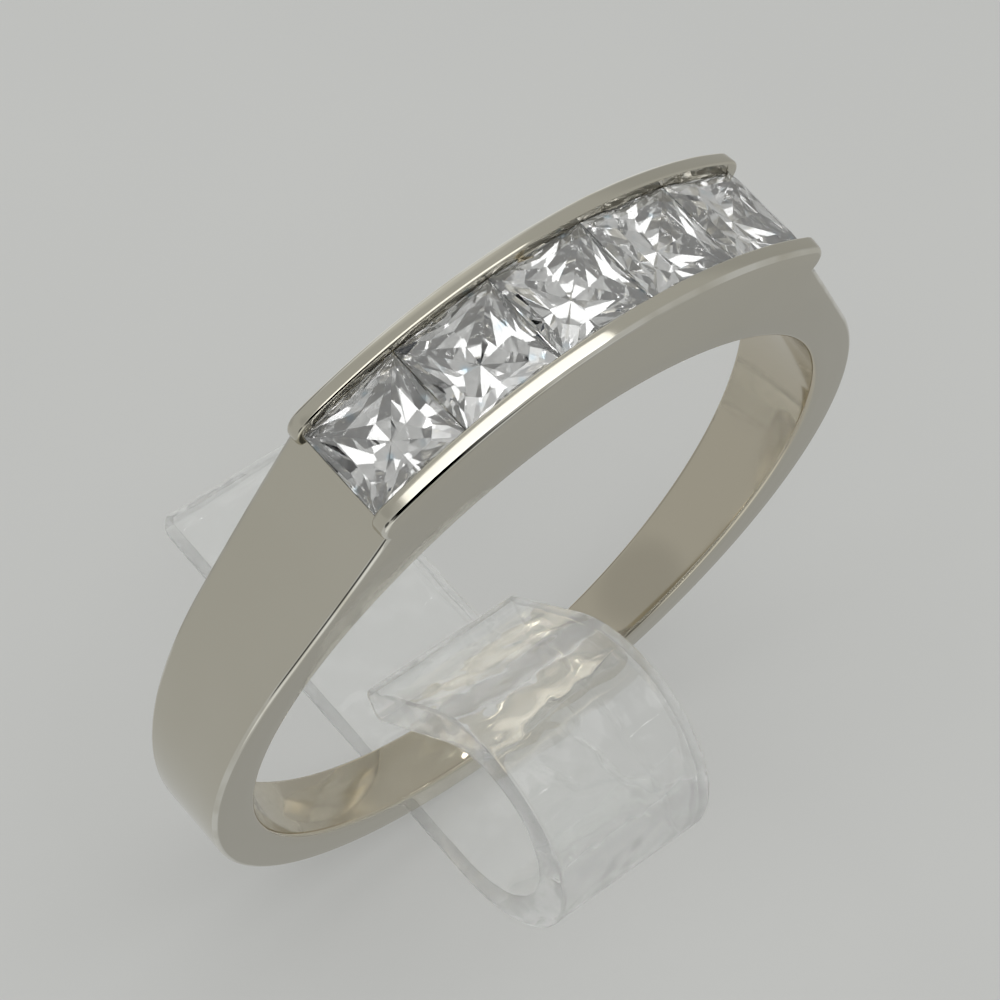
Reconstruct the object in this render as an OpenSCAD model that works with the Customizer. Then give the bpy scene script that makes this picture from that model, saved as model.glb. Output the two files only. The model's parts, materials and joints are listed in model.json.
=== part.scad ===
// Channel set band standing in a clear bent strip. Millimetres, +Z up.
// The origin is on the table, straight below the middle of the finger hole.
// X runs along the row of stones, Y along the finger, and the strip's curl is on the -Y side.

/* [Finger hole and shank] */

// Diameter of the finger hole, mm
bore_d = 17.3; // [15.5:0.1:20]
// Thickness of the shank, mm
shank_t = 1.2; // [0.9:0.05:1.5]
// Width of the shank at its lowest point, mm
bottom_w = 1.5; // [1.2:0.1:2.4]
// Angle from the top at which the straight shoulder leaves the round, degrees
shoulder_angle = 60; // [54:1:66]
// Height below the top of the finger hole at which the sides begin to draw in, mm
taper_drop = 0.35; // [0.1:0.05:1]
// Flat that breaks each outer edge of the shank, mm
edge_flat = 0.2; // [0.1:0.05:0.3]
// Flat that breaks each edge of the finger hole, mm
bore_flat = 0.12; // [0.05:0.01:0.2]

/* [Channel] */

// Thickness of each rail, mm
rail_t = 0.44; // [0.38:0.01:0.7]
// Lap of each rail over the edges of the stones, mm
rail_lap = 0.05; // [0.04:0.01:0.08]
// Height of the rail tops above the finger hole, mm
rail_rise = 2.85; // [2.75:0.05:3.1]
// Length of each rail past the last stone, mm
rail_past = 0.22; // [0.15:0.01:0.35]
// Rounding along the rail tops, mm
rail_round = 0.15; // [0.1:0.01:0.18]
// Rounding of the rail ends, mm
rail_end_round = 0.55; // [0.4:0.01:0.6]
// Clearance round each stone in its seat, mm
seat_clear = 0.02; // [0.015:0.005:0.04]
// Depth of the channel floor below the points of the stones, mm
floor_drop = 0.15; // [0.1:0.05:0.25]

/* [Stones] */

// Side of each square stone, mm
stone_w = 2.62; // [2.5:0.01:2.75]
// Gap between neighbouring stones, mm
stone_gap = 0.02; // [0.015:0.005:0.05]
// Height of the girdles above the finger hole, mm
girdle_rise = 2.35; // [2.3:0.05:2.45]
// Thickness of the girdle, mm
girdle_t = 0.05; // [0.04:0.01:0.08]
// Height of the crown above the girdle, mm
crown_h = 0.25; // [0.2:0.01:0.3]
// Side of the table as a part of the stone's side
table_part = 0.68; // [0.62:0.01:0.74]
// Depth of the pavilion below the girdle, mm
pavilion_h = 1.45; // [1.38:0.01:1.46]

/* [Clear strip] */

// Width of the strip, mm
strip_w = 5; // [4:0.1:7]
// Thickness of the strip, mm
strip_t = 1; // [0.8:0.05:1.2]
// Distance from the middle of the ring to the strip's far end, mm
strip_far = 10.5; // [9:0.1:14]
// Sideways place of the strip's middle from the middle of the ring, mm
strip_side = 0.6; // [0:0.1:1]
// Outer radius of the curl, mm
curl_r = 3.3; // [3.2:0.05:3.6]
// Distance from the middle of the ring to the middle of the curl, mm
curl_back = 2.6; // [2.3:0.05:2.8]
// Angle from level at which the tongue leaves the curl, degrees
tongue_angle = 45; // [42:1:60]
// Length of the straight tongue, mm
tongue_l = 3.4; // [2.6:0.1:4.6]
// Rounding of the strip's two ends, mm
strip_end_round = 0.3; // [0.1:0.05:0.4]
// Gap between the shank and the strip that it stands on, mm
stand_gap = 0.03; // [0.02:0.01:0.08]

/* [Hidden] */

$fn = 96;
stones = 5;
far = 40;
cutter = 1;
hair = 0.001;
bore_r = bore_d / 2;
outer_r = bore_r + shank_t;
ring_z = strip_t + stand_gap + outer_r;

// Width over the rails follows from the stone, its seat in both rails and the metal outside
channel_w = stone_w - 2 * rail_lap;
head_w = channel_w + 2 * rail_t;
rail_r = bore_r + rail_rise;
girdle_r = bore_r + girdle_rise;
groove_w = stone_w + 2 * seat_clear;
ledge_h = 0.28;
ledge_w = 0.15;
floor_part = 0.42;
floor_r = girdle_r - girdle_t / 2 - pavilion_h - floor_drop;

// Stones stand side by side round the arc, so the pitch follows from their side and gap
stone_pitch = 2 * atan((stone_w + stone_gap) / 2 / girdle_r);
end_stone_angle = (stones - 1) / 2 * stone_pitch;
pocket_x = stone_w / 2 + seat_clear;
rail_angle = stones / 2 * stone_pitch + rail_past / girdle_r * 180 / PI;
pocket_angle = end_stone_angle + atan(pocket_x / girdle_r);
rail_end_r = rail_r - rail_end_round + hair;
rail_full = rail_angle - asin(rail_end_round / rail_end_r);

// Sides of the shank: upright at the head, then drawn in evenly to the bottom
taper_z = bore_r - taper_drop;
taper_slope = (head_w - bottom_w) / 2 / (taper_z + outer_r);
side_y = head_w / 2 - taper_slope * taper_z;
side_angle = atan(taper_slope);

table_half = table_part * stone_w / 2;
corner_part = 0.72;
crown_break = [0.45, 0.6];
corner_spread = 0.02;
culet_flat = 0.02;
strip_x = strip_side - strip_w / 2;

// A point of the ring's plane, given in the frame of a stone that stands at an angle from the top
function in_ring(angle, x, z) = [x * cos(angle) + z * sin(angle), z * cos(angle) - x * sin(angle)];

// Lays a profile of the ring's plane down along the finger's direction, over the full width
module along_finger(width) {
    rotate([90, 0, 0])
        linear_extrude(height = width, center = true)
            children();
}

// Turns a profile of radius and width round the finger's axis
module round_finger() {
    rotate([90, 0, 0])
        rotate_extrude()
            children();
}

// Outline of the shank: the round, with a straight shoulder up to the channel on each side
module shank_outline() {
    // The shoulder starts a hair inside the round, so that the two cross
    shoulder = (outer_r - hair) * [sin(shoulder_angle), cos(shoulder_angle)];
    reach = outer_r * tan(shoulder_angle - pocket_angle);
    top = shoulder + reach * [-cos(shoulder_angle), sin(shoulder_angle)];
    circle(r = outer_r);
    polygon([[0, 0], shoulder, top, [-top.x, top.y], [-shoulder.x, shoulder.y]]);
    intersection() {
        circle(r = girdle_r + crown_h);
        polygon([
            in_ring(end_stone_angle, pocket_x, bore_r),
            in_ring(end_stone_angle, pocket_x, far),
            in_ring(-end_stone_angle, -pocket_x, far),
            in_ring(-end_stone_angle, -pocket_x, bore_r)
        ]);
    }
}

// Points along an arc, from one angle to another
function arc(middle, radius, from, to) =
    let (steps = ceil(abs(to - from) / 360 * $fn))
    [
        for (step = [0:steps])
            let (angle = from + (to - from) * step / steps)
            middle + radius * [cos(angle), sin(angle)]
    ];

// Sector that the rails fill seen from the side, with both ends rounded up to their tops
module rail_outline() {
    $fn = 48;
    right = [sin(rail_full), cos(rail_full)];
    left = [-right.x, right.y];
    polygon(concat(
        [[0, 0]],
        arc(rail_end_r * right, rail_end_round, -rail_angle, 90 - rail_full),
        [far * right, far * left],
        arc(rail_end_r * left, rail_end_round, 90 + rail_full, 180 + rail_angle)
    ));
}

// Section of one rail, radius to the right and width upwards, with a rounded top
module rail_section() {
    low = channel_w / 2;
    high = head_w / 2;
    translate([bore_r, low])
        square([rail_r - rail_round - bore_r, high - low]);
    translate([bore_r, low + rail_round])
        square([rail_r - bore_r, high - low - 2 * rail_round]);
    for (edge = [low + rail_round, high - rail_round])
        translate([rail_r - rail_round, edge])
            circle(r = rail_round);
}

// Half section of the channel: open top, groove for the girdles, ledge under them, narrow floor
module channel_section() {
    half = groove_w / 2;
    // A flat stone in a round groove reaches out further at its ends than in its middle
    bow = girdle_r * (1 / cos(stone_pitch / 2) - 1);
    low = girdle_r - girdle_t / 2 - seat_clear;
    lip = girdle_r + girdle_t / 2 + bow + seat_clear;
    polygon([
        [floor_r, 0],
        [floor_r, floor_part * half],
        [low - ledge_h, half - ledge_w],
        [low, half],
        [lip, half],
        [lip + half - channel_w / 2, channel_w / 2],
        [far, channel_w / 2],
        [far, 0]
    ]);
}

// The pocket that the five stones share, closed by a wall at each end
module channel_pocket() {
    intersection() {
        round_finger() {
            channel_section();
            mirror([0, 1])
                channel_section();
        }
        along_finger(head_w)
            polygon([
                [0, 0],
                in_ring(end_stone_angle, pocket_x, floor_r - cutter),
                in_ring(end_stone_angle, pocket_x, far),
                in_ring(-end_stone_angle, -pocket_x, far),
                in_ring(-end_stone_angle, -pocket_x, floor_r - cutter)
            ]);
    }
}

// Everything between the two sloping sides
module between_sides() {
    rotate([90, 0, 90])
        linear_extrude(height = far, center = true)
            polygon([
                [-head_w / 2, far],
                [-head_w / 2, taper_z],
                [far * taper_slope - side_y, -far],
                [side_y - far * taper_slope, -far],
                [head_w / 2, taper_z],
                [head_w / 2, far]
            ]);
}

// Puts what follows on a sloping side of the shank, Z pointing out of the metal and -Y to the head
module on_side(side) {
    mirror([0, side > 0 ? 0 : 1, 0])
        translate([0, side_y, 0])
            rotate([-90 - side_angle, 0, 0])
                children();
}

// Cuts the flats along the edges of one side: cones round the shank, a plane along each shoulder
module edge_flats() {
    outer_mid = outer_r - edge_flat;
    bore_mid = bore_r + bore_flat;
    difference() {
        cylinder(r = outer_r + cutter, h = cutter, center = true);
        cylinder(r1 = outer_mid + cutter / 2, r2 = outer_mid - cutter / 2, h = cutter, center = true);
        // The head keeps its full width above the places where the shoulders begin
        translate([0, 0, -far / 2])
            linear_extrude(height = far)
                polygon([
                    [0, 0],
                    far * [sin(shoulder_angle), -cos(shoulder_angle)],
                    [far, -far],
                    [-far, -far],
                    far * [-sin(shoulder_angle), -cos(shoulder_angle)]
                ]);
    }
    // The plane of a shoulder ends inside the head and runs out past the round at its other end
    shoulder_l = outer_r * tan(shoulder_angle - rail_angle);
    for (hand = [-1, 1])
        mirror([hand > 0 ? 0 : 1, 0, 0])
            rotate(shoulder_angle - 90)
                translate([outer_mid - hair, -shoulder_l, 0])
                    rotate([0, 45, 0])
                        translate([-cutter, 0, 0])
                            cube([2 * cutter, shoulder_l + cutter / 2, 2 * cutter]);
    cylinder(r1 = bore_mid - cutter / 2, r2 = bore_mid + cutter / 2, h = cutter, center = true);
}

module band() {
    color([0.72, 0.71, 0.67])
        translate([0, 0, ring_z])
            difference() {
                union() {
                    intersection() {
                        along_finger(head_w)
                            shank_outline();
                        between_sides();
                    }
                    intersection() {
                        round_finger() {
                            rail_section();
                            mirror([0, 1])
                                rail_section();
                        }
                        along_finger(head_w)
                            rail_outline();
                    }
                }
                for (side = [-1, 1])
                    on_side(side)
                        edge_flats();
                rotate([90, 0, 0])
                    cylinder(r = bore_r, h = far, center = true);
                channel_pocket();
            }
}

// Keeps what lies on the near side of a plane through three points, as a block with that face
module facet(a, b, c) {
    across = cross(b - a, c - a);
    normal = across * (across * a < 0 ? -1 : 1);
    block = 4 * stone_w;
    rotate([0, acos(normal.z / norm(normal)), atan2(normal.y, normal.x)])
        translate([-block / 2, -block / 2, normal * a / norm(normal) - block])
            cube(block);
}

// One square stone at the origin of its girdle plane: table, stepped crown, nested pavilion facets
module square_stone() {
    half = stone_w / 2;
    deep = girdle_t / 2 + pavilion_h;
    high = girdle_t / 2 + crown_h;
    // Crown of a side, from the girdle up to the table: distance out, height
    crown = [
        [half, girdle_t / 2],
        [half - crown_break[0] * (half - table_half), girdle_t / 2 + crown_break[1] * crown_h],
        [table_half, high]
    ];
    // Middle line of a pavilion side, from the girdle down to the point: distance out, depth
    middle = [
        [half, girdle_t / 2],
        [0.86 * half, 0.22 * deep],
        [0.66 * half, 0.47 * deep],
        [0.36 * half, 0.74 * deep],
        [0, deep]
    ];
    intersection() {
        translate([-half, -half, culet_flat - deep])
            cube([stone_w, stone_w, deep - culet_flat + high]);
        // Two steps of the crown on each side
        intersection_for(quarter = [0:90:270], step = [0:1])
            rotate(quarter)
                facet(
                    [crown[step][0], 0, crown[step][1]],
                    [crown[step][0], 1, crown[step][1]],
                    [crown[step + 1][0], 0, crown[step + 1][1]]
                );
        // Corner facets between the sides, which start a little above the girdle
        intersection_for(quarter = [0:90:270])
            rotate(quarter)
                facet(
                    [half + corner_spread, half + corner_spread, girdle_t / 2],
                    [table_half, corner_part * table_half, high],
                    [corner_part * table_half, table_half, high]
                );
        // Under the girdle one facet on each side
        intersection_for(quarter = [0:90:270])
            rotate(quarter)
                facet(
                    [middle[0][0], 0, -middle[0][1]],
                    [middle[1][0], 0, -middle[1][1]],
                    [half, half, -girdle_t / 2]
                );
        // Then nested facets each way from the middle line of a side to points a little outside its corners
        intersection_for(quarter = [0:90:270], hand = [-1, 1], step = [1:3])
            rotate(quarter)
                facet(
                    [middle[step][0], 0, -middle[step][1]],
                    [middle[step + 1][0], 0, -middle[step + 1][1]],
                    (half + step * corner_spread) * [1, hand, 0] - [0, 0, girdle_t / 2]
                );
    }
}

// A stone set in the row; the middle one is at the top
module set_stone(place) {
    color([0.86, 0.89, 0.92])
        translate([0, 0, ring_z])
            rotate([0, (place - (stones + 1) / 2) * stone_pitch, 0])
                translate([0, 0, girdle_r])
                    square_stone();
}

module stone_1() {
    set_stone(1);
}

module stone_2() {
    set_stone(2);
}

module stone_3() {
    set_stone(3);
}

module stone_4() {
    set_stone(4);
}

module stone_5() {
    set_stone(5);
}

// Side view of the strip, finger's direction to the right and height upwards
module strip_outline() {
    curl = [-curl_back, curl_r];
    // From the curl the tongue runs forward and down, its faces square to this direction
    out = [cos(tongue_angle), sin(tongue_angle)];
    tip = curl + (tongue_l - strip_end_round) * [out.y, -out.x];
    inner = curl_r - strip_t;
    polygon(concat(
        arc([strip_far - strip_end_round, strip_end_round], strip_end_round, -90, 0),
        arc([strip_far - strip_end_round, strip_t - strip_end_round], strip_end_round, 0, 90),
        arc(curl, inner, -90, tongue_angle - 360),
        arc(tip + (inner + strip_end_round) * out, strip_end_round, tongue_angle - 180, tongue_angle - 90),
        arc(tip + (curl_r - strip_end_round) * out, strip_end_round, tongue_angle - 90, tongue_angle),
        arc(curl, curl_r, tongue_angle - 360, -90)
    ));
}

module ring_stand() {
    color([0.9, 0.93, 0.93, 0.5])
        translate([strip_x, 0, 0])
            rotate([90, 0, 90])
                linear_extrude(height = strip_w)
                    strip_outline();
}

band();
stone_1();
stone_2();
stone_3();
stone_4();
stone_5();
ring_stand();
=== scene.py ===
import json
import math

import bmesh
import bpy
from mathutils import Matrix, Vector


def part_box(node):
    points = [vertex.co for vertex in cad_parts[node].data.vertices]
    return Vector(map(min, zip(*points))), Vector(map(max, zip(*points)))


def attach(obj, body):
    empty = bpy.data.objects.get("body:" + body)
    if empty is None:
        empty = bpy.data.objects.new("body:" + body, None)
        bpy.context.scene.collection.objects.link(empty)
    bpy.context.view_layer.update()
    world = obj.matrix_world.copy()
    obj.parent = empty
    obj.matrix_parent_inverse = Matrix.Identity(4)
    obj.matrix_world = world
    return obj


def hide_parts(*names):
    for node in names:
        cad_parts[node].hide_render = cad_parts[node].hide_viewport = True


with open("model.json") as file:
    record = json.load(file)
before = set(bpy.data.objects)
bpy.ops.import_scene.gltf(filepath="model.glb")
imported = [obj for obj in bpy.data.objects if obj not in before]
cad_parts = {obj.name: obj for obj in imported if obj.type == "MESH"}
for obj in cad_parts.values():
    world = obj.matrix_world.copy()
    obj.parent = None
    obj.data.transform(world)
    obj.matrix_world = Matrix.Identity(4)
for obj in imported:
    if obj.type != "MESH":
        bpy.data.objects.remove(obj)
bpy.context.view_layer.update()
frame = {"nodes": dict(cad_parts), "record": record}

# Clear strip that holds the ring upright. It is one length of clear sheet, warmed and bent over a
# rod into a flat foot, a curl and a tongue that reaches back through the finger hole. Its sawn
# edges are polished, which leaves them slightly round.
MM = 0.001
strip_low, strip_high = (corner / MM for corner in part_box("ring_stand"))
SHEET_THICKNESS = 1.0
TONGUE_ANGLE = 45
TONGUE_LENGTH = 3.4
END_ROUNDING = 0.3
EDGE_ROUNDING = 0.1
STEPS_ROUND_CURL = 72
TOUCHING = 0.01
SHARP_TURN = math.radians(57)
CREASE_TURN = math.radians(40)
SCRATCH_RELIEF = 0.02 * MM
RIPPLE_RELIEF = 0.4 * MM
CLEAR_TINT = (0.985, 0.992, 0.988, 1)
SEEN_STRAIGHT_THROUGH = 0.26


def verts_of(geometry):
    return [part for part in geometry if isinstance(part, bmesh.types.BMVert)]


def edges_of(geometry):
    return [part for part in geometry if isinstance(part, bmesh.types.BMEdge)]


def ring_of_edges(bm, points):
    corners = [bm.verts.new(point) for point in points]
    return [bm.edges.new((a, b)) for a, b in zip(corners, corners[1:] + corners[:1])]


def draw_out(bm, edges, offset):
    drawn = bmesh.ops.extrude_edge_only(bm, edges=edges)["geom"]
    bmesh.ops.translate(bm, vec=offset, verts=verts_of(drawn))
    return edges_of(drawn)


def turn_round(bm, edges, middle, axis, angle, steps):
    turned = bmesh.ops.spin(
        bm, geom=edges, cent=middle, axis=axis, dvec=(0, 0, 0), angle=angle, steps=steps,
        use_merge=False, use_normal_flip=False, use_duplicate=False,
    )["geom_last"]
    return edges_of(turned)


def round_edges(bm, edges, radius, segments):
    return bmesh.ops.bevel(
        bm, geom=edges, offset=radius, offset_type="OFFSET", affect="EDGES",
        segments=segments, profile=0.5, material=-1, clamp_overlap=True,
    )["faces"]


def finished_piece(bm, name, middle, material):
    """Brings a shape built in millimetres to its place, with smooth shading up to its sharp edges."""
    bmesh.ops.recalc_face_normals(bm, faces=bm.faces)
    bmesh.ops.translate(bm, vec=middle, verts=bm.verts)
    bmesh.ops.scale(bm, vec=(MM, MM, MM), verts=bm.verts)
    mesh = bpy.data.meshes.new(name)
    bm.to_mesh(mesh)
    bm.free()
    mesh.shade_smooth()
    mesh.set_sharp_from_angle(angle=CREASE_TURN)
    mesh.materials.append(material)
    piece = bpy.data.objects.new(name, mesh)
    bpy.context.scene.collection.objects.link(piece)
    weighted = piece.modifiers.new("even_shading", "WEIGHTED_NORMAL")
    weighted.keep_sharp = True
    return piece


def handling_marks():
    """Fine scratches and faint smears, as cloths and fingers leave them on a polished surface."""
    group = bpy.data.node_groups.new("handling_marks", "ShaderNodeTree")
    for name, value in (
        ("Scratches per Metre", 900),
        ("Smears per Metre", 250),
        ("Lowest Roughness", 0.05),
        ("Highest Roughness", 0.2),
        ("Scratch Depth", 0.05),
    ):
        socket = group.interface.new_socket(name, in_out="INPUT", socket_type="NodeSocketFloat")
        socket.default_value = value
    group.interface.new_socket("Roughness", in_out="OUTPUT", socket_type="NodeSocketFloat")
    group.interface.new_socket("Normal", in_out="OUTPUT", socket_type="NodeSocketVector")
    node, link = group.nodes.new, group.links.new
    inputs, outputs = node("NodeGroupInput"), node("NodeGroupOutput")
    place = node("ShaderNodeTexCoord")
    stretch = node("ShaderNodeMapping")
    stretch.inputs["Rotation"].default_value = (0.4, 0.9, 0.2)
    stretch.inputs["Scale"].default_value = (1, 0.08, 1)
    scratches = node("ShaderNodeTexNoise")
    scratches.inputs["Detail"].default_value = 6
    smears = node("ShaderNodeTexNoise")
    smears.inputs["Detail"].default_value = 3
    spread = node("ShaderNodeMapRange")
    spread.inputs["From Min"].default_value = 0.35
    spread.inputs["From Max"].default_value = 0.7
    relief = node("ShaderNodeBump")
    relief.inputs["Distance"].default_value = SCRATCH_RELIEF
    link(place.outputs["Object"], stretch.inputs["Vector"])
    link(stretch.outputs["Vector"], scratches.inputs["Vector"])
    link(place.outputs["Object"], smears.inputs["Vector"])
    link(inputs.outputs["Scratches per Metre"], scratches.inputs["Scale"])
    link(inputs.outputs["Smears per Metre"], smears.inputs["Scale"])
    link(smears.outputs["Fac"], spread.inputs["Value"])
    link(inputs.outputs["Lowest Roughness"], spread.inputs["To Min"])
    link(inputs.outputs["Highest Roughness"], spread.inputs["To Max"])
    link(inputs.outputs["Scratch Depth"], relief.inputs["Strength"])
    link(scratches.outputs["Fac"], relief.inputs["Height"])
    link(spread.outputs["Result"], outputs.inputs["Roughness"])
    link(relief.outputs["Normal"], outputs.inputs["Normal"])
    return group


def marked_material(name, scratches, smears, lowest, highest, depth):
    """A material whose roughness and fine relief come from its handling marks."""
    material = bpy.data.materials.new(name)
    material.use_nodes = True
    nodes, link = material.node_tree.nodes, material.node_tree.links.new
    surface = nodes["Principled BSDF"]
    worn = nodes.new("ShaderNodeGroup")
    worn.node_tree = bpy.data.node_groups.get("handling_marks") or handling_marks()
    worn.inputs["Scratches per Metre"].default_value = scratches
    worn.inputs["Smears per Metre"].default_value = smears
    worn.inputs["Lowest Roughness"].default_value = lowest
    worn.inputs["Highest Roughness"].default_value = highest
    worn.inputs["Scratch Depth"].default_value = depth
    link(worn.outputs["Roughness"], surface.inputs["Roughness"])
    link(worn.outputs["Normal"], surface.inputs["Normal"])
    return material, surface, worn


def clear_sheet():
    """Clear acrylic. Falling light passes it at full strength, and about a quarter of what is seen does."""
    material, surface, worn = marked_material(
        "clear_sheet", scratches=900, smears=220, lowest=0.0, highest=0.08, depth=0.04
    )
    nodes, link = material.node_tree.nodes, material.node_tree.links.new
    surface.inputs["Base Color"].default_value = CLEAR_TINT
    surface.inputs["Transmission Weight"].default_value = 0.94
    surface.inputs["IOR"].default_value = 1.49
    place = nodes.new("ShaderNodeTexCoord")
    ripples = nodes.new("ShaderNodeTexNoise")
    ripples.inputs["Scale"].default_value = 420
    ripples.inputs["Detail"].default_value = 2
    uneven = nodes.new("ShaderNodeBump")
    uneven.inputs["Strength"].default_value = 0.5
    uneven.inputs["Distance"].default_value = RIPPLE_RELIEF
    link(place.outputs["Object"], ripples.inputs["Vector"])
    link(ripples.outputs["Fac"], uneven.inputs["Height"])
    link(worn.outputs["Normal"], uneven.inputs["Normal"])
    link(uneven.outputs["Normal"], surface.inputs["Normal"])
    ray = nodes.new("ShaderNodeLightPath")
    falling = nodes.new("ShaderNodeMath")
    falling.operation = "MAXIMUM"
    least = nodes.new("ShaderNodeMath")
    least.operation = "MAXIMUM"
    least.inputs[1].default_value = SEEN_STRAIGHT_THROUGH
    straight = nodes.new("ShaderNodeBsdfTransparent")
    seen = nodes.new("ShaderNodeMixShader")
    link(ray.outputs["Is Shadow Ray"], falling.inputs[0])
    link(ray.outputs["Is Diffuse Ray"], falling.inputs[1])
    link(falling.outputs["Value"], least.inputs[0])
    link(least.outputs["Value"], seen.inputs["Fac"])
    link(surface.outputs["BSDF"], seen.inputs[1])
    link(straight.outputs["BSDF"], seen.inputs[2])
    link(seen.outputs["Shader"], nodes["Material Output"].inputs["Surface"])
    return material


def bent_strip():
    """The sheet's cross section, drawn out along the foot, turned round the curl and out to the tongue."""
    curl_radius = strip_high.z / 2
    curl_middle = (0, strip_low.y + curl_radius, curl_radius)
    bm = bmesh.new()
    section = [
        (strip_low.x, strip_high.y, 0),
        (strip_high.x, strip_high.y, 0),
        (strip_high.x, strip_high.y, SHEET_THICKNESS),
        (strip_low.x, strip_high.y, SHEET_THICKNESS),
    ]
    edges = ring_of_edges(bm, section)
    far_end = bm.faces.new([edge.verts[0] for edge in edges])
    edges = draw_out(bm, edges, (0, curl_middle[1] - strip_high.y, 0))
    edges = turn_round(
        bm, edges, curl_middle, (1, 0, 0), math.radians(TONGUE_ANGLE - 360 + 90), STEPS_ROUND_CURL
    )
    tongue = math.radians(TONGUE_ANGLE)
    along = TONGUE_LENGTH * Vector((0, math.sin(tongue), -math.cos(tongue)))
    edges = draw_out(bm, edges, along)
    bmesh.ops.holes_fill(bm, edges=edges, sides=4)
    ends = [far_end] + [face for face in bm.faces if all(edge in face.edges for edge in edges)]
    across = [
        edge for end in ends for edge in end.edges
        if abs(edge.verts[0].co.x - edge.verts[1].co.x) > TOUCHING
    ]
    round_edges(bm, across, END_ROUNDING, segments=5)
    sides = (strip_low.x, strip_high.x)
    rims = [
        edge for edge in bm.edges
        if len(edge.link_faces) == 2 and edge.calc_face_angle() > SHARP_TURN
        and any(all(abs(vert.co.x - side) < TOUCHING for vert in edge.verts) for side in sides)
    ]
    round_edges(bm, rims, EDGE_ROUNDING, segments=3)
    return finished_piece(bm, "clear_strip", (0, 0, 0), clear_sheet())


clear_strip = bent_strip()
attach(clear_strip, "root")
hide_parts("ring_stand")

# The band: one casting in white gold, with the shank, the two rails and the seats cut for the
# stones. It is filed flat on its sides, its edges are eased, and it is polished all over.
hole = next(mount for mount in frame["record"]["mounts"] if mount["name"] == "finger_hole")
ring_middle = Vector(hole["pos_m"]) / MM
band_low, band_high = (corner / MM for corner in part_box("band"))
BORE_RADIUS = hole["dims"]["r_mm"]
SHANK_RADIUS = ring_middle.z - band_low.z
RAIL_RADIUS = band_high.z - ring_middle.z
HALF_HEAD = (band_high.y - band_low.y) / 2
RAIL_THICKNESS = 0.44
RAIL_TOP_FALL = 0.05
HALF_BOTTOM = 0.75
SHOULDER_ANGLE = 60
TAPER_DROP = 0.35
TAPER_BLEND = 2.0
SIDE_ROWS = 3
STONE_SIDE = 2.62
STONE_GAP = 0.02
OUTER_FACES_FROM = BORE_RADIUS + 0.9
NEAR_ANGLE = 0.1
NEAR = 0.02
GIRDLE_RADIUS = BORE_RADIUS + 2.35
SEAT_CLEARANCE = 0.02
RAIL_PAST_STONES = 0.22
RAIL_END_ROUNDING = 0.55
RAIL_END_STEP = 3.3
LAP_TOP = 0.22
LAP_BOTTOM = 0.10
GROOVE_BOTTOM = 0.045
LEDGE_WIDTH = 0.15
LEDGE_BOTTOM = 0.32
CHANNEL_FLOOR_SHARE = 0.42
CHANNEL_FLOOR_DEPTH = 1.6
END_SEAT_DEPTH = 0.03
OUTER_ROUNDING = 0.24
CHANNEL_ROUNDING = 0.08
BORE_ROUNDING = 0.12
WHITE_GOLD = (0.66, 0.63, 0.55, 1)
WHITE_GOLD_DEEP = (0.60, 0.57, 0.48, 1)
# Painted highlight: a paler colour on the rounded outer edges, in place of the light they catch.
EDGE_HIGHLIGHT_COLOUR = (0.80, 0.78, 0.72, 1)
# Painted shade: a darker, warmer colour inside the finger hole, in place of its dim reflections of itself.
BORE_SHADE_COLOUR = (0.62, 0.57, 0.465, 1)

half_channel = HALF_HEAD - RAIL_THICKNESS
pocket_reach = STONE_SIDE / 2 + SEAT_CLEARANCE
stone_pitch = 2 * math.degrees(math.atan((STONE_SIDE + STONE_GAP) / 2 / GIRDLE_RADIUS))
end_stone_angle = 2 * stone_pitch
rail_angle = 2.5 * stone_pitch + math.degrees(RAIL_PAST_STONES / GIRDLE_RADIUS)
pocket_angle = end_stone_angle + math.degrees(math.atan(pocket_reach / GIRDLE_RADIUS))
taper_height = BORE_RADIUS - TAPER_DROP
taper_slope = (HALF_HEAD - HALF_BOTTOM) / (taper_height + SHANK_RADIUS)


def half_width(height):
    """Half the band's width at a height over the middle of the finger hole."""
    below = taper_height - height
    if below <= -TAPER_BLEND:
        return HALF_HEAD
    if below < TAPER_BLEND:
        return HALF_HEAD - taper_slope * (below + TAPER_BLEND) ** 2 / (4 * TAPER_BLEND)
    return HALF_HEAD - taper_slope * below


def shank_reach(angle):
    """Radius of the shank's outer face: round below, with a straight shoulder up to each end stone."""
    leans = SHOULDER_ANGLE - max(abs(angle), pocket_angle)
    return SHANK_RADIUS / math.cos(math.radians(max(leans, 0)))


def angle_of(vert):
    return math.degrees(math.atan2(vert.co.x, vert.co.z))


def radius_of(vert):
    return math.hypot(vert.co.x, vert.co.z)


def put(vert, angle, radius, across):
    turn = math.radians(angle)
    vert.co = (radius * math.sin(turn), across, radius * math.cos(turn))


def faces_between(bm, low, high, reach):
    """Outer faces of the spun blank whose middles lie between two distances from its middle plane."""
    for face in bm.faces:
        middle = face.calc_center_median()
        angle = math.degrees(math.atan2(middle.x, middle.z))
        outside = math.hypot(middle.x, middle.z) > OUTER_FACES_FROM
        if outside and low < abs(middle.y) < high and abs(angle) < reach:
            yield face


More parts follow.
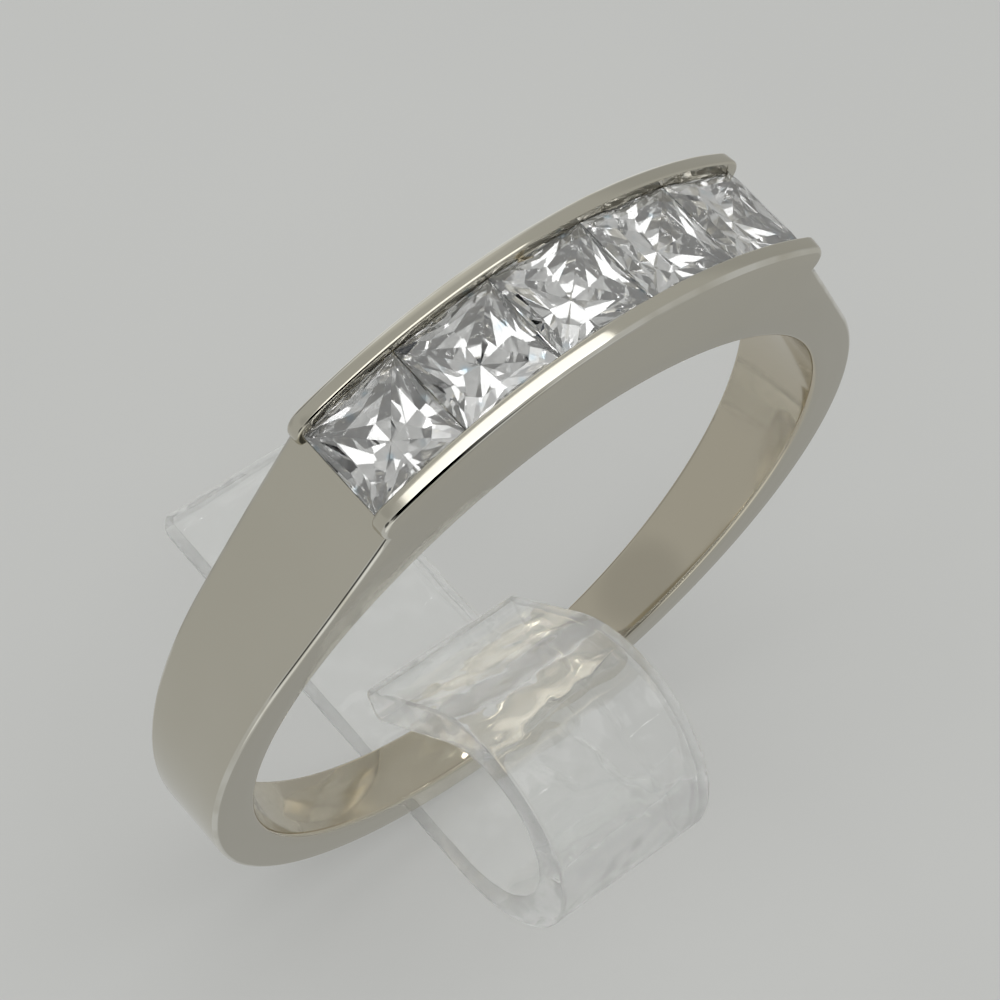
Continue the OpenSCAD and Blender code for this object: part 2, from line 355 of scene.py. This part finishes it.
def blank(bm):
    """The whole ring as a square blank, spun round the finger's axis."""
    rows = [BORE_RADIUS + (SHANK_RADIUS - BORE_RADIUS) * row / SIDE_ROWS for row in range(SIDE_ROWS + 1)]
    section = [(radius, HALF_HEAD) for radius in rows]
    section += [(SHANK_RADIUS, half_channel), (SHANK_RADIUS, -half_channel)]
    section += [(radius, -HALF_HEAD) for radius in reversed(rows)]
    start = math.radians(-rail_angle)
    edges = ring_of_edges(bm, [(r * math.sin(start), across, r * math.cos(start)) for r, across in section])
    stretches = [
        (2 * pocket_angle, 66), (rail_angle - pocket_angle, 1), (SHOULDER_ANGLE - rail_angle, 12),
        (360 - 2 * SHOULDER_ANGLE, 180), (SHOULDER_ANGLE - rail_angle, 12),
    ]
    edges = turn_round(bm, edges, (0, 0, 0), (0, 1, 0), math.radians(rail_angle - pocket_angle), 1)
    for angle, steps in stretches:
        edges = turn_round(bm, edges, (0, 0, 0), (0, 1, 0), math.radians(angle), steps)
    bmesh.ops.remove_doubles(bm, verts=bm.verts, dist=0.001)


def shape_blank(bm):
    """Files the blank to its outline: the shoulders, and sides that draw in towards the bottom."""
    for vert in bm.verts:
        angle = angle_of(vert)
        across = vert.co.y
        part = (radius_of(vert) - BORE_RADIUS) / (SHANK_RADIUS - BORE_RADIUS)
        radius = BORE_RADIUS + (shank_reach(angle) - BORE_RADIUS) * part
        share = half_width(radius * math.cos(math.radians(angle))) / HALF_HEAD
        if abs(across) > half_channel + NEAR:
            across *= share
        elif abs(angle) > rail_angle + NEAR_ANGLE:
            across *= share ** 2
        put(vert, angle, radius, across)


def pulled(bm, faces):
    """The faces once more, joined to the old ones' rims by walls and free to be moved from there."""
    grown = bmesh.ops.extrude_face_region(bm, geom=faces)["geom"]
    bmesh.ops.delete(bm, geom=faces, context="FACES")
    return grown


def raise_rails(bm):
    """Raises both rails along the sides of the head, with a slight fall outwards and rounded ends."""
    strip = list(faces_between(bm, half_channel, HALF_HEAD - RAIL_THICKNESS / 4, rail_angle))
    for vert in verts_of(pulled(bm, strip)):
        angle = angle_of(vert)
        if abs(angle) < pocket_angle + NEAR_ANGLE:
            angle *= (rail_angle - RAIL_END_STEP) / pocket_angle
        outermost = abs(vert.co.y) > half_channel + NEAR
        radius = RAIL_RADIUS - RAIL_TOP_FALL * outermost
        half = half_width(radius * math.cos(math.radians(angle))) if outermost else half_channel
        put(vert, angle, radius, math.copysign(half, vert.co.y))
    ends = [
        edge for edge in bm.edges
        if all(abs(abs(angle_of(vert)) - rail_angle) < NEAR_ANGLE for vert in edge.verts)
        and all(radius_of(vert) > RAIL_RADIUS - RAIL_TOP_FALL - NEAR for vert in edge.verts)
    ]
    round_edges(bm, ends, RAIL_END_ROUNDING, segments=7)


def cut_channel(bm):
    """Sinks the channel: the rails' lap, a groove for the girdles, a ledge under it and a narrow floor."""
    for vert in bm.verts:
        angle = angle_of(vert)
        on_wall = abs(abs(vert.co.y) - half_channel) < NEAR and abs(angle) < pocket_angle - NEAR_ANGLE
        if on_wall and OUTER_FACES_FROM < radius_of(vert) < GIRDLE_RADIUS:
            put(vert, angle, GIRDLE_RADIUS + LAP_TOP, vert.co.y)
    levels = [
        (pocket_reach, GIRDLE_RADIUS + LAP_BOTTOM),
        (pocket_reach, GIRDLE_RADIUS - GROOVE_BOTTOM),
        (pocket_reach - LEDGE_WIDTH, GIRDLE_RADIUS - LEDGE_BOTTOM),
        (pocket_reach * CHANNEL_FLOOR_SHARE, GIRDLE_RADIUS - CHANNEL_FLOOR_DEPTH),
    ]
    floor = list(faces_between(bm, -1, half_channel, pocket_angle))
    for half, radius in levels:
        grown = pulled(bm, floor)
        floor = [part for part in grown if isinstance(part, bmesh.types.BMFace)]
        for vert in verts_of(grown):
            angle = angle_of(vert)
            level = radius
            if abs(angle) > pocket_angle - 3 * NEAR_ANGLE:
                level = min(radius, GIRDLE_RADIUS - END_SEAT_DEPTH)
                wall = end_stone_angle + math.degrees(math.asin(pocket_reach / level))
                angle *= wall / pocket_angle
            put(vert, angle, level, math.copysign(half, vert.co.y))


def ease_edges(bm):
    """Rounds the sharp edges, and marks on the mesh where a painted highlight goes on the outer roundings
    and painted shade inside the finger hole.
    """
    bore, channel, outer = [], [], []
    for edge in bm.edges:
        if len(edge.link_faces) != 2 or edge.calc_face_angle() < SHARP_TURN or not edge.is_convex:
            continue
        radii = [radius_of(vert) for vert in edge.verts]
        angles = [abs(angle_of(vert)) for vert in edge.verts]
        reaches = [abs(vert.co.y) for vert in edge.verts]
        on_top = min(radii) > GIRDLE_RADIUS + LAP_TOP + NEAR or min(angles) > pocket_angle - NEAR_ANGLE
        on_rails = on_top and max(angles) < rail_angle + NEAR_ANGLE
        past_rails = min(angles) > rail_angle - NEAR_ANGLE
        if max(radii) < BORE_RADIUS + NEAR:
            bore.append(edge)
        elif on_rails and all(abs(reach - half_channel) < NEAR for reach in reaches):
            channel.append(edge)
        elif past_rails or on_top and all(reach > HALF_HEAD - NEAR for reach in reaches):
            outer.append(edge)
    round_edges(bm, channel, CHANNEL_ROUNDING, segments=3)
    highlight_rim = round_edges(bm, [edge for edge in outer if edge.is_valid], OUTER_ROUNDING, segments=6)
    round_edges(bm, [edge for edge in bore if edge.is_valid], BORE_ROUNDING, segments=4)
    # Marks the faces of the outer roundings for the painted highlight.
    highlight_mask = bm.verts.layers.float.new("painted_edge_highlight")
    highlight_rim = {face for face in highlight_rim if face.is_valid}
    for vert in {vert for face in highlight_rim for vert in face.verts}:
        vert[highlight_mask] = float(all(face in highlight_rim for face in vert.link_faces))
    # Marks the faces of the finger hole for the painted shade.
    inside = bm.verts.layers.float.new("bore_shade_mask")
    for vert in bm.verts:
        vert[inside] = float(radius_of(vert) < BORE_RADIUS + 2 * NEAR)


def white_gold():
    """White gold: clouded a little, with a painted highlight on its rounded edges and painted shade, darker
    and warmer, inside the finger hole.
    """
    material, surface, _ = marked_material(
        "white_gold", scratches=1400, smears=300, lowest=0.05, highest=0.14, depth=0.05
    )
    nodes, link = material.node_tree.nodes, material.node_tree.links.new
    place = nodes.new("ShaderNodeTexCoord")
    cloud = nodes.new("ShaderNodeTexNoise")
    cloud.inputs["Scale"].default_value = 180
    cloud.inputs["Detail"].default_value = 4
    tone = nodes.new("ShaderNodeMix")
    tone.data_type = "RGBA"
    tone.inputs["A"].default_value = WHITE_GOLD_DEEP
    tone.inputs["B"].default_value = WHITE_GOLD
    link(place.outputs["Object"], cloud.inputs["Vector"])
    link(cloud.outputs["Fac"], tone.inputs["Factor"])
    # Painted highlight: a paler colour in uneven patches on the rounded outer edges.
    highlight_rim = nodes.new("ShaderNodeAttribute")
    highlight_rim.attribute_name = "painted_edge_highlight"
    patches = nodes.new("ShaderNodeTexNoise")
    patches.inputs["Scale"].default_value = 700
    uneven = nodes.new("ShaderNodeMapRange")
    uneven.inputs["From Min"].default_value = 0.3
    uneven.inputs["From Max"].default_value = 0.6
    highlight_mask = nodes.new("ShaderNodeMath")
    highlight_mask.operation = "MULTIPLY"
    highlighted = nodes.new("ShaderNodeMix")
    highlighted.data_type = "RGBA"
    highlighted.inputs["B"].default_value = EDGE_HIGHLIGHT_COLOUR
    link(place.outputs["Object"], patches.inputs["Vector"])
    link(patches.outputs["Fac"], uneven.inputs["Value"])
    link(uneven.outputs["Result"], highlight_mask.inputs[0])
    link(highlight_rim.outputs["Fac"], highlight_mask.inputs[1])
    link(highlight_mask.outputs["Value"], highlighted.inputs["Factor"])
    # Painted shade: a darker, warmer colour over the inside of the finger hole.
    bore_shade_mask = nodes.new("ShaderNodeAttribute")
    bore_shade_mask.attribute_name = "bore_shade_mask"
    bore_shaded = nodes.new("ShaderNodeMix")
    bore_shaded.data_type = "RGBA"
    bore_shaded.inputs["B"].default_value = BORE_SHADE_COLOUR
    link(bore_shade_mask.outputs["Fac"], bore_shaded.inputs["Factor"])
    link(tone.outputs["Result"], bore_shaded.inputs["A"])
    link(bore_shaded.outputs["Result"], highlighted.inputs["A"])
    link(highlighted.outputs["Result"], surface.inputs["Base Color"])
    surface.inputs["Metallic"].default_value = 1
    return material


def polished_band():
    bm = bmesh.new()
    blank(bm)
    shape_blank(bm)
    raise_rails(bm)
    cut_channel(bm)
    ease_edges(bm)
    return finished_piece(bm, "polished_band", ring_middle, white_gold())


band = polished_band()
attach(band, "root")
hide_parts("band")

# The stones: five square cut clear stones, slid along the channel edge to edge. Each is ground and
# polished to flat facets, so the cut stones of the frame are kept and given their material.
STONES = 5
# Painted fire: blue and yellow tints in the stones' colour stand in for the coloured flashes of split light.
BLUE_FIRE = (0.55, 0.80, 1, 1)
WHITE_FIRE = (1, 1, 1, 1)
YELLOW_FIRE = (1, 0.8, 0.5, 1)


def cut_stone():
    """Clear cut stone, with painted fire: blue and yellow tints, changing from place to place, that stand in
    for flashes of split light.
    """
    material, surface, _ = marked_material(
        "cut_stone", scratches=500, smears=300, lowest=0.0, highest=0.012, depth=0.0
    )
    nodes, link = material.node_tree.nodes, material.node_tree.links.new
    place = nodes.new("ShaderNodeTexCoord")
    cells = nodes.new("ShaderNodeTexVoronoi")
    cells.inputs["Scale"].default_value = 1600
    fire = nodes.new("ShaderNodeValToRGB")
    fire.color_ramp.interpolation = "EASE"
    fire.color_ramp.elements[0].color = BLUE_FIRE
    for position, colour in ((0.25, WHITE_FIRE), (0.65, WHITE_FIRE), (1.0, YELLOW_FIRE)):
        fire.color_ramp.elements.new(position).color = colour
    link(place.outputs["Object"], cells.inputs["Vector"])
    link(cells.outputs["Distance"], fire.inputs["Fac"])
    link(fire.outputs["Color"], surface.inputs["Base Color"])
    surface.inputs["Transmission Weight"].default_value = 0.9
    surface.inputs["IOR"].default_value = 2.42
    return material


stone_finish = cut_stone()
for number in range(1, STONES + 1):
    stone = frame["nodes"][f"stone_{number}"]
    stone.data.materials.clear()
    stone.data.materials.append(stone_finish)

# The floor under the strip: a plain pale sheet lit softly from below, with the faint cloudiness of
# matte board. The polished metal mirrors the room and not the floor.
FLOOR_SIZE = 2.0
FLOOR_DROP = 0.02 * MM
BOARD = (0.33, 0.335, 0.33, 1)
BOARD_PALER = (0.37, 0.375, 0.365, 1)
BOARD_GLOW = (1, 1, 0.98, 1)
BOARD_GLOW_STRENGTH = 0.225


def pale_board():
    material = bpy.data.materials.new("pale_board")
    material.use_nodes = True
    nodes, link = material.node_tree.nodes, material.node_tree.links.new
    surface = nodes["Principled BSDF"]
    surface.inputs["Roughness"].default_value = 0.6
    surface.inputs["Emission Color"].default_value = BOARD_GLOW
    surface.inputs["Emission Strength"].default_value = BOARD_GLOW_STRENGTH
    place = nodes.new("ShaderNodeTexCoord")
    cloud = nodes.new("ShaderNodeTexNoise")
    cloud.inputs["Scale"].default_value = 60
    tone = nodes.new("ShaderNodeMix")
    tone.data_type = "RGBA"
    tone.inputs["A"].default_value = BOARD
    tone.inputs["B"].default_value = BOARD_PALER
    link(place.outputs["Object"], cloud.inputs["Vector"])
    link(cloud.outputs["Fac"], tone.inputs["Factor"])
    link(tone.outputs["Result"], surface.inputs["Base Color"])
    return material


bm = bmesh.new()
bmesh.ops.create_grid(bm, x_segments=2, y_segments=2, size=FLOOR_SIZE / 2)
bmesh.ops.translate(bm, vec=(0, 0, -FLOOR_DROP), verts=bm.verts)
floor_mesh = bpy.data.meshes.new("floor")
bm.to_mesh(floor_mesh)
bm.free()
floor_mesh.materials.append(pale_board())
floor = bpy.data.objects.new("floor", floor_mesh)
bpy.context.scene.collection.objects.link(floor)
floor.visible_glossy = False

# Soft studio light: a pale room with a few dimmer and brighter places that the polished metal mirrors,
# one long soft box over the ring, and eight small lamps round it that draw the flashes from the stones.
ROOM = (0.50, 0.505, 0.49, 1)
SOFT_BOX_PLACE = Vector((-0.045, -0.035, 0.40))
SOFT_BOX_SIZE = (0.45, 0.33)
SOFT_BOX_BRIGHTNESS = 1.35
SMALL_LAMP_SIZE = 0.02
SMALL_LAMP_BRIGHTNESS = 12
SMALL_LAMP_DISTANCE = 0.4
world = bpy.data.worlds.new("room")
world.use_nodes = True
walls, link = world.node_tree.nodes, world.node_tree.links.new
background = walls["Background"]
background.inputs["Color"].default_value = ROOM
direction = walls.new("ShaderNodeTexCoord").outputs["Generated"]
strength = walls.new("ShaderNodeValue").outputs["Value"]
strength.default_value = 1.0
for towards, half_angle, soft_rim, change in (
    ((-0.50, -0.68, 0.53), 14, 7, -0.85),
    ((-0.26, -0.74, 0.62), 11, 6, -0.85),
    ((-0.10, -0.97, 0.20), 15, 7, -0.85),
    ((-0.20, 0.97, 0.12), 8, 8, -0.6),
    ((-0.89, -0.44, 0.00), 14, 6, -0.85),
    ((-0.35, -0.82, -0.45), 16, 8, 0.6),
    ((0.15, -0.96, -0.20), 14, 10, 0.3),
    ((0.30, -0.82, -0.48), 9, 10, -0.45),
    ((0.42, -0.33, -0.84), 12, 12, -0.12),
    ((0.36, -0.04, -0.93), 12, 12, -0.08),
    ((0.94, 0.34, 0.05), 18, 16, -0.15),
    ((-0.77, 0.28, 0.57), 8, 12, -0.15),
    ((0.42, 0.82, -0.38), 10, 22, 0.55),
    ((-0.45, 0.85, -0.25), 10, 20, -0.25),
    ((0.10, 0.85, 0.52), 12, 16, 0.5),
):
    facing = walls.new("ShaderNodeVectorMath")
    facing.operation = "DOT_PRODUCT"
    facing.inputs[1].default_value = Vector(towards).normalized()
    patch = walls.new("ShaderNodeMapRange")
    patch.interpolation_type = "SMOOTHSTEP"
    patch.inputs["From Min"].default_value = math.cos(math.radians(half_angle + soft_rim))
    patch.inputs["From Max"].default_value = math.cos(math.radians(half_angle))
    patch.inputs["To Max"].default_value = change
    total = walls.new("ShaderNodeMath")
    total.operation = "ADD"
    link(direction, facing.inputs[0])
    link(facing.outputs["Value"], patch.inputs["Value"])
    link(strength, total.inputs[0])
    link(patch.outputs["Result"], total.inputs[1])
    strength = total.outputs["Value"]
link(strength, background.inputs["Strength"])
bpy.context.scene.world = world

light = bpy.data.lights.new("soft_box", "AREA")
light.shape = "RECTANGLE"
light.size, light.size_y = SOFT_BOX_SIZE
light.energy = SOFT_BOX_BRIGHTNESS * math.pi * SOFT_BOX_SIZE[0] * SOFT_BOX_SIZE[1]
soft_box = bpy.data.objects.new("soft_box", light)
soft_box.location = SOFT_BOX_PLACE
bpy.context.scene.collection.objects.link(soft_box)

for number, (azimuth, elevation) in enumerate(
    ((20, 62), (75, 48), (130, 66), (165, 40), (215, 58), (262, 70), (300, 44), (340, 38)), 1
):
    light = bpy.data.lights.new(f"small_lamp_{number}", "AREA")
    light.shape = "DISK"
    light.size = SMALL_LAMP_SIZE
    light.energy = SMALL_LAMP_BRIGHTNESS * (math.pi * SMALL_LAMP_SIZE / 2) ** 2
    lamp = bpy.data.objects.new(light.name, light)
    turn, rise = math.radians(azimuth), math.radians(elevation)
    towards = Vector((math.cos(turn) * math.cos(rise), math.sin(turn) * math.cos(rise), math.sin(rise)))
    lamp.location = SMALL_LAMP_DISTANCE * towards
    lamp.visible_glossy = False
    lamp.rotation_mode = "QUATERNION"
    lamp.rotation_quaternion = (-towards).to_track_quat("-Z", "Y")
    bpy.context.scene.collection.objects.link(lamp)

bpy.context.scene.view_settings.view_transform = "Standard"
cycles = bpy.context.scene.cycles
cycles.glossy_bounces = 12
cycles.transmission_bounces = 20
cycles.max_bounces = 20

# The camera: it looks down from above the near left end of the row of stones through a long lens,
# and is turned a little about its own axis.
CAMERA_PLACE = Vector((-35.64, -28.09, 71.52)) + ring_middle
CAMERA_AIM = Vector((0.89, 1.37, 0)) + ring_middle
CAMERA_ROLL = 13.24
FOCAL_LENGTH = 126
SENSOR_WIDTH = 36
camera_data = bpy.data.cameras.new("camera")
camera_data.lens = FOCAL_LENGTH
camera_data.sensor_width = SENSOR_WIDTH
camera_data.clip_start = MM
camera = bpy.data.objects.new("camera", camera_data)
sight = (CAMERA_AIM - CAMERA_PLACE).to_track_quat("-Z", "Y").to_matrix()
turned = sight @ Matrix.Rotation(math.radians(CAMERA_ROLL), 3, "Z")
camera.matrix_world = Matrix.Translation(CAMERA_PLACE * MM) @ turned.to_4x4()
bpy.context.scene.collection.objects.link(camera)
bpy.context.scene.camera = camera
